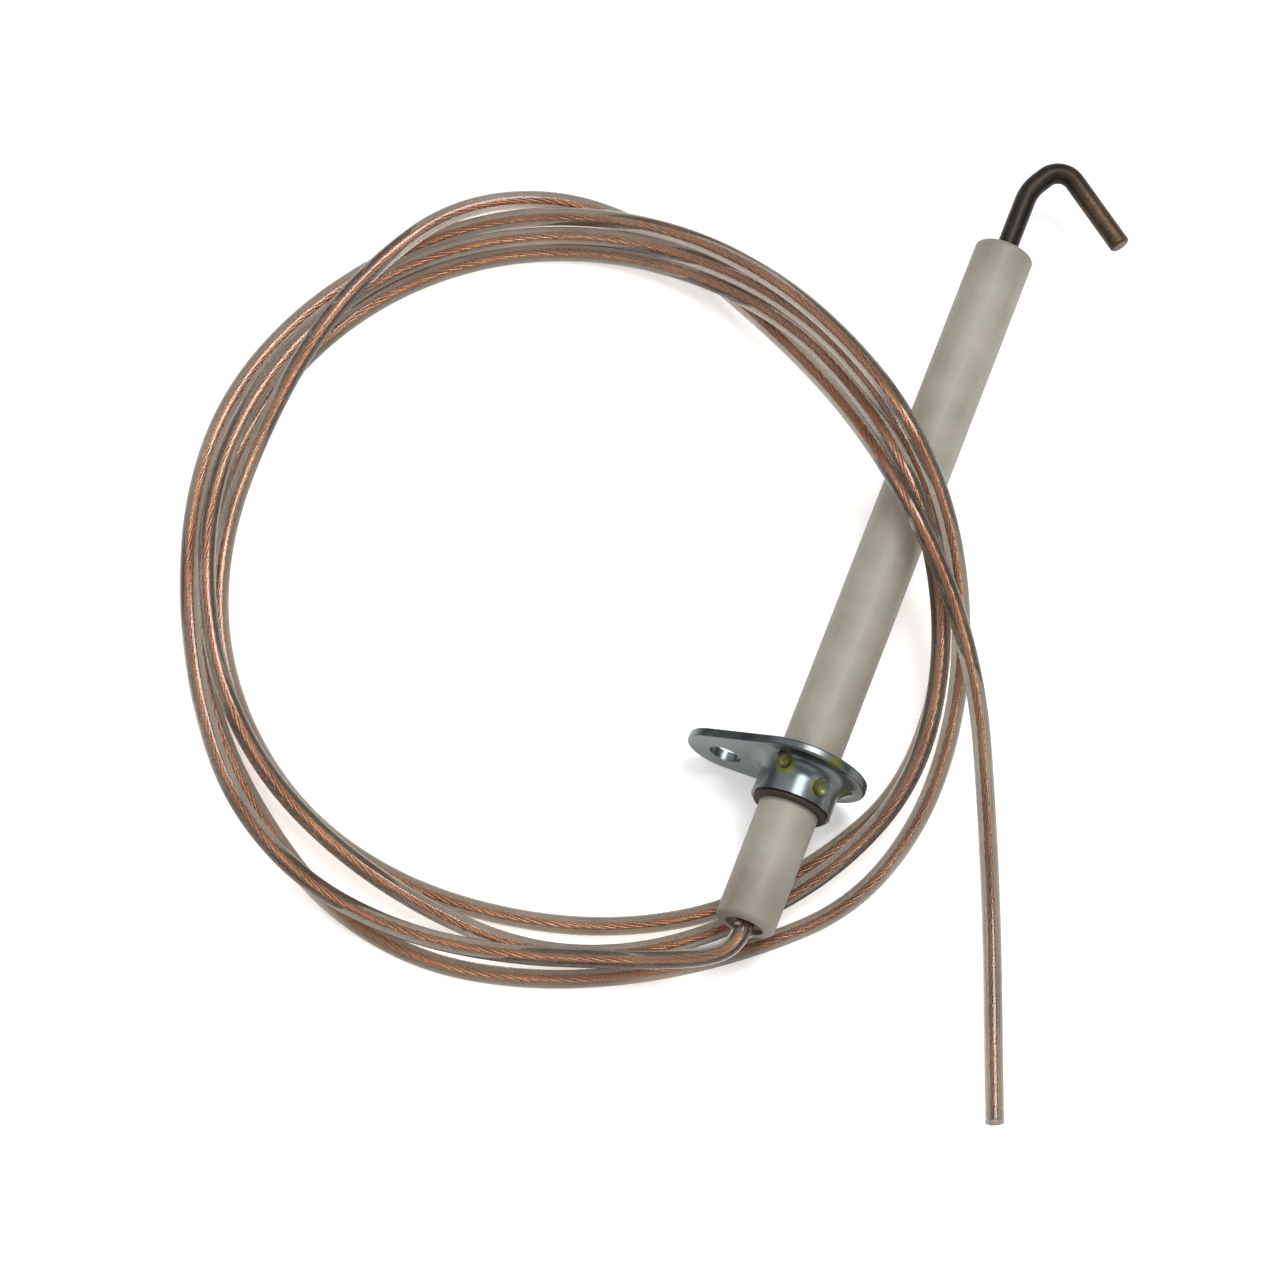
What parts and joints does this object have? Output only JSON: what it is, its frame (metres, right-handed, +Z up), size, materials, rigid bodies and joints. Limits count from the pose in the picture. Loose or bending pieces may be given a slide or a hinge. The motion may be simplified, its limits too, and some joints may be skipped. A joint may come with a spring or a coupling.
{
  "type": "ignition electrode",
  "caption": "Hooked spark rod in a ceramic tube with a staked one-hole flange and a clear-insulated copper lead that lies coiled beside it; strikes the spark in a gas burner",
  "frame": {"origin": "centre of the box of the electrode with its flange, without the lead, on the surface it lies on", "axes": "+Y along the ceramic towards the hooked tip, +Z up from the surface it lies on, +X to the side the hook bends towards"},
  "size_m": [0.1311, 0.1331, 0.0199],
  "materials": {
    "ceramic": "unglazed, fine matte",
    "heat_resistant_wire": "dark heat-oxidised drawn wire",
    "cement": "rough grey-buff cement",
    "zinc_plated_steel": "bright bluish zinc plating, a little yellowed",
    "packing": "dark brown fibre ring",
    "brass_ferrule": "drawn brass",
    "copper": "bare copper strands",
    "potting": "buff potting compound",
    "lead_insulation": "clear glossy silicone over copper"
  },
  "bodies": {
    "root": {"ceramic_insulator": "ceramic", "electrode_rod": "heat_resistant_wire", "front_cement": "cement", "mounting_flange": "zinc_plated_steel", "collar_packing_ring": "packing", "splice_ferrule": "brass_ferrule", "conductor_strands": "copper", "lead_insulation_inside": "lead_insulation", "rear_potting": "potting", "lead_exit_run": "lead_insulation", "lead_coil": "lead_insulation", "lead_tail": "lead_insulation"}
  },
  "joints": []
}
